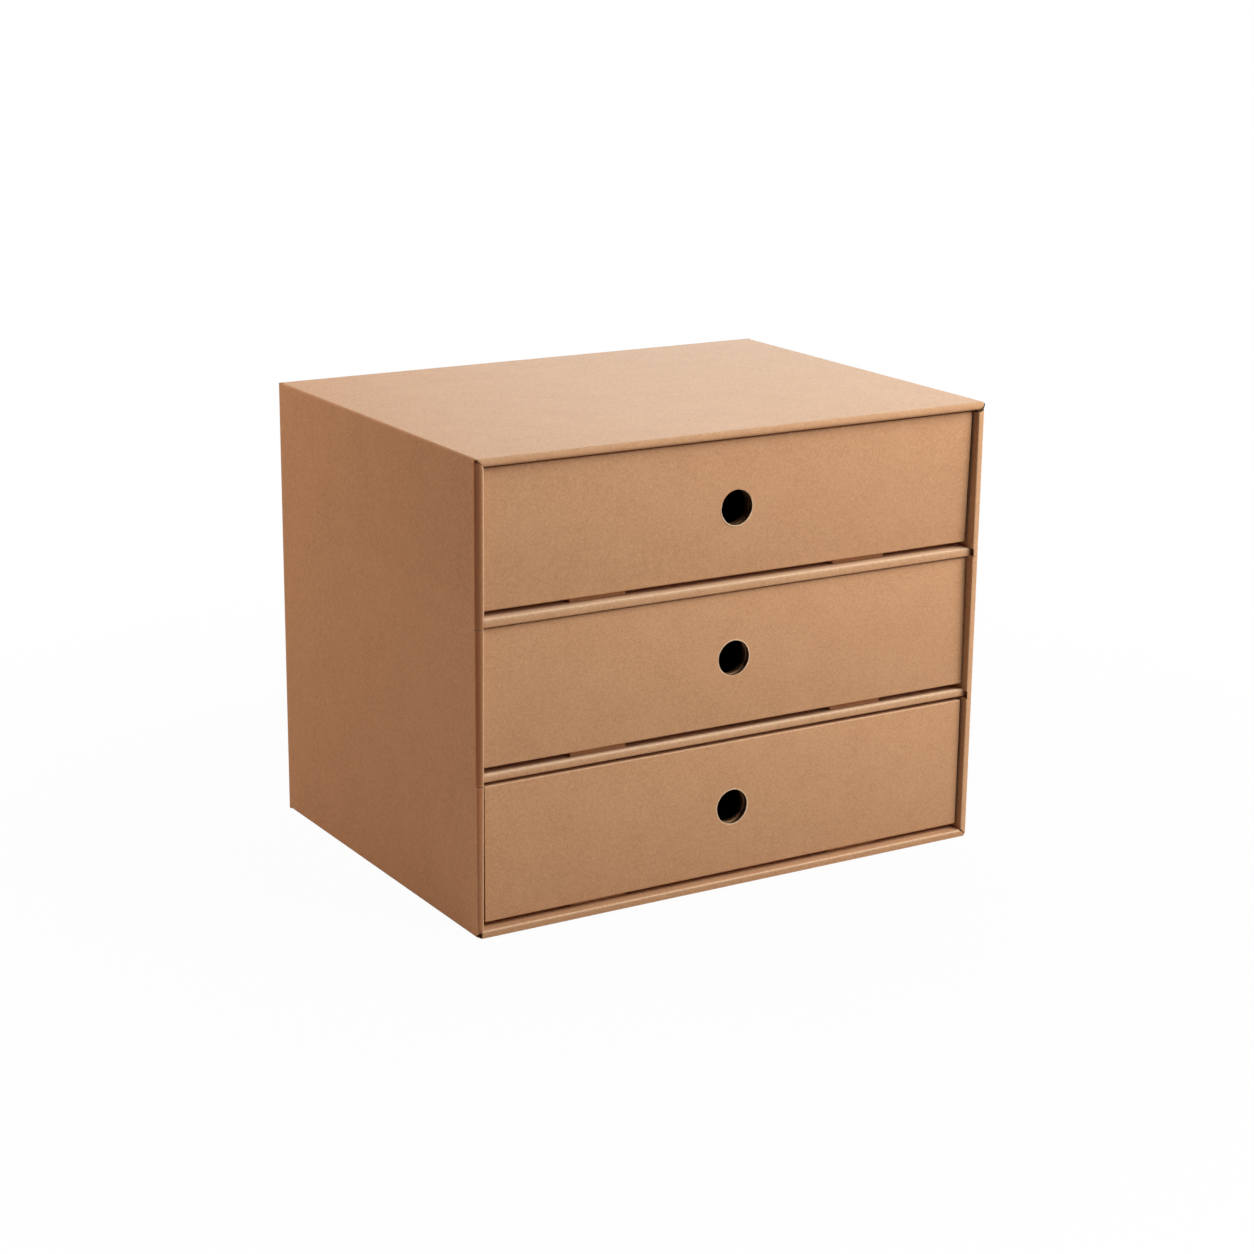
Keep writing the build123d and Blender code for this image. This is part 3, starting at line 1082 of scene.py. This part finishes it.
class DRAWERUNIT_OT_back(bpy.types.Operator):
    """Closes the back with a panel hinged on the top, its tuck flap and two dust flaps"""
    bl_idname = "drawer_unit.back"
    bl_label = "Back"

    def execute(self, context):
        radius = context.scene.card_sizes.fold_radius
        edge, edge_zone = 0.5 * MM, 20 * MM
        seam = wrap_high.y
        turn = [math.pi / 2 * i / 6 for i in range(7)]
        away = rear_y - radius
        outside = [(seam, height)]
        outside += [(away + radius * math.sin(t), height - radius + radius * math.cos(t)) for t in turn]
        outside += [(rear_y, height * i / 8) for i in range(7, 0, -1)]
        outside += [(away + radius * math.cos(t), radius - radius * math.sin(t)) for t in turn]
        outside.append((seam, 0.0))
        last = len(outside) - 1
        inside = [(seam + 0.01 * MM, height - 0.02 * MM - (height - 0.04 * MM) * i / last)
                  for i in range(last + 1)]

        def section(x):
            drawn = drawn_in(edge, max(0.0, abs(x) - (half_width - edge)))
            taut = max(0.0, min(1.0, (half_width - abs(x)) / (40 * MM)))
            sag = max(taut * (0.10 + waver(x, 3, 110 * MM, 0.15)) * MM, 0.0)
            side_a = []
            for y, z in outside:
                hollow = sag if edge_zone < z < height - edge_zone else 0.0
                side_a.append(Vector((x, min(y, rear_y - drawn) - hollow, z)))
            return side_a, [Vector((x, y, z)) for y, z in inside], [0.0] * len(outside)

        stations = stations_across(half_width, round_tail(edge, 4), 5 * MM)
        plate = ribbon("back_plate", stations, section, ("paper",), 0, math.radians(30))
        low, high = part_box("liner_bottom")
        tuck = box_mesh("tuck_flap", (low.x + PLAY, back_low.y, low.z),
                        (high.x - PLAY, seam + 0.5 * MM, high.z), 0.25 * MM, "inside")
        settle(join("back_cover_with_tuck_flap", [plate, tuck]), "casing", "outer_card", "back_panel")
        for side_name, sign in SIDES:
            dust_flap(side_name, sign)
        return {"FINISHED"}


def dust_flap(side_name, sign):
    """A flap that folds in from a side wall, its free end narrower."""
    low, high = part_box(f"dust_flap_{side_name}")
    taper = 6 * MM
    root, free = (low.x, high.x) if sign < 0 else (high.x, low.x)

    def section(x):
        narrow = max(0.0, taper - abs(free - x))
        sides = []
        for y in (low.y + 0.02 * MM, high.y - 0.02 * MM):
            sides.append([Vector((x, y, low.z + narrow)), Vector((x, y, high.z - narrow))])
        return *sides, [0.0, 0.0]

    stations = sorted([root, free, free + sign * taper, (root + free) / 2])
    flap = ribbon(f"dust_flap_{side_name}_sheet", stations, section, ("inside", "raw"), 1, math.radians(30))
    settle(flap, "casing", "inner_card", f"dust_flap_{side_name}")


def lamp(name, azimuth, elevation, distance, size, power, colour):
    """A square area lamp that looks at the unit's middle. Azimuth 0 is in front, +90 on the right."""
    turn, climb = math.radians(azimuth), math.radians(elevation)
    way = Vector((math.sin(turn) * math.cos(climb), -math.cos(turn) * math.cos(climb), math.sin(climb)))
    data = bpy.data.lights.new(name, "AREA")
    data.size = size
    data.energy = power
    data.color = colour
    made = show(name, data)
    made.location = Vector((0, 0, height / 2)) + way * distance
    made.rotation_mode = "QUATERNION"
    made.rotation_quaternion = (-way).to_track_quat("-Z", "Y")


def background_rays(tree):
    """1 for the rays that show the background: seen by the camera, mirrored or through something clear."""
    path = add_node(tree, "ShaderNodeLightPath")
    return (path.out("Is Camera Ray") + path.out("Is Glossy Ray") + path.out("Is Transmission Ray")).clamped()


def make_floor():
    """A pale floor that keeps the unit's shadow and fades into the white background."""
    material = bpy.data.materials.new("pale_floor")
    tree = fresh_tree(material)
    colour = (*bpy.context.scene.card_colours.floor, 1.0)
    matte = add_node(tree, "ShaderNodeBsdfDiffuse", {}, {"Color": colour}).out(0)
    white = add_node(tree, "ShaderNodeEmission", {}, {"Color": WHITE, "Strength": 1.0}).out(0)
    place = add_node(tree, "ShaderNodeTexCoord").out("Object")
    away = add_node(tree, "ShaderNodeVectorMath", {"operation": "LENGTH"}, {0: place}).out("Value")
    far = ((away - 0.25) * 2.2).clamped()
    share = background_rays(tree) * (0.97 + far * 0.03)
    mixed = add_node(tree, "ShaderNodeMixShader", {}, {0: share, 1: matte, 2: white}).out(0)
    add_node(tree, "ShaderNodeOutputMaterial", {}, {"Surface": mixed})
    work = bmesh.new()
    bmesh.ops.create_circle(work, cap_ends=True, radius=6.0, segments=64)
    floor = solid_from("floor", work)
    floor.data.materials.append(material)
    floor.location.z = -0.2 * MM


def make_camera():
    """The camera, from the left and a little above."""
    yaw, pitch, roll = (math.radians(turn) for turn in CAMERA_TURNS)
    data = bpy.data.cameras.new("camera")
    data.sensor_width = 36.0
    data.lens = CAMERA_FOCAL * data.sensor_width
    data.clip_start = 0.01
    camera = show("camera", data)
    turns = ((-yaw, "Z"), (math.pi / 2 - pitch, "X"), (-roll, "Z"))
    matrix = Matrix.Translation(CAMERA_PLACE)
    for angle, axis in turns:
        matrix = matrix @ Matrix.Rotation(angle, 4, axis)
    camera.matrix_world = matrix
    bpy.context.scene.camera = camera


WHITE = (1, 1, 1, 1)
# Strength of the world's light on the unit. The background itself is white.
AMBIENT = 0.006
# Name, azimuth and elevation in degrees, distance, size, power and colour of each lamp.
LAMPS = (
    ("low_key", 38, 25, 1.3, 0.6, 4.9, (1.0, 0.93, 0.85)),
    ("high_key", 38, 42, 1.3, 0.9, 17.2, (0.94, 1.0, 0.98)),
    ("back_glow", 140, 16, 1.4, 1.0, 16.2, (0.58, 0.92, 1.0)),
    ("left_fill", -140, 30, 1.4, 0.8, 14.1, (1.0, 0.76, 0.56)),
)
# The camera's place in metres, its yaw, pitch and roll in degrees, and its focal length in picture widths.
CAMERA_PLACE = (-0.801953, -1.321135, 0.555983)
CAMERA_TURNS = (31.285, 15.679, -0.562)
CAMERA_FOCAL = 2705.3 / 1254


class DRAWERUNIT_OT_stage(bpy.types.Operator):
    """Sets the floor, the soft studio light and the camera"""
    bl_idname = "drawer_unit.stage"
    bl_label = "Stage"

    def execute(self, context):
        context.scene.view_settings.view_transform = "Standard"
        make_floor()
        world = bpy.data.worlds.new("studio")
        context.scene.world = world
        tree = fresh_tree(world)
        strength = AMBIENT + background_rays(tree) * (1 - AMBIENT)
        glow = add_node(tree, "ShaderNodeBackground", {}, {"Color": WHITE, "Strength": strength}).out(0)
        add_node(tree, "ShaderNodeOutputWorld", {}, {"Surface": glow})
        for values in LAMPS:
            lamp(*values)
        make_camera()
        return {"FINISHED"}


class DRAWERUNIT_PT_panel(bpy.types.Panel):
    """Lists the unit's sizes, colours and pieces"""
    bl_idname = "DRAWERUNIT_PT_panel"
    bl_label = "Card drawer unit"
    bl_space_type = "VIEW_3D"
    bl_region_type = "UI"
    bl_category = "Drawer unit"

    def draw(self, context):
        layout = self.layout
        for group in (context.scene.card_sizes, context.scene.card_colours):
            for key in group.bl_rna.properties.keys():
                if key not in ("rna_type", "name"):
                    layout.prop(group, key)
        for operator in OPERATORS:
            layout.operator(operator.bl_idname)


OPERATORS = (DRAWERUNIT_OT_wrap, DRAWERUNIT_OT_liners, DRAWERUNIT_OT_corners, DRAWERUNIT_OT_shelves,
             DRAWERUNIT_OT_back, DRAWERUNIT_OT_drawers, DRAWERUNIT_OT_stage)
CLASSES = (CardSizes, CardColours, *OPERATORS, DRAWERUNIT_PT_panel)


def register():
    for item in CLASSES:
        bpy.utils.register_class(item)
    bpy.types.Scene.card_sizes = PointerProperty(type=CardSizes)
    bpy.types.Scene.card_colours = PointerProperty(type=CardColours)


def unregister():
    del bpy.types.Scene.card_colours
    del bpy.types.Scene.card_sizes
    for item in reversed(CLASSES):
        bpy.utils.unregister_class(item)


def main():
    register()
    bpy.ops.drawer_unit.wrap()
    bpy.ops.drawer_unit.liners()
    bpy.ops.drawer_unit.corners()
    bpy.ops.drawer_unit.shelves()
    bpy.ops.drawer_unit.back()
    bpy.ops.drawer_unit.drawers()
    bpy.ops.drawer_unit.stage()


if __name__ == "__main__":
    main()
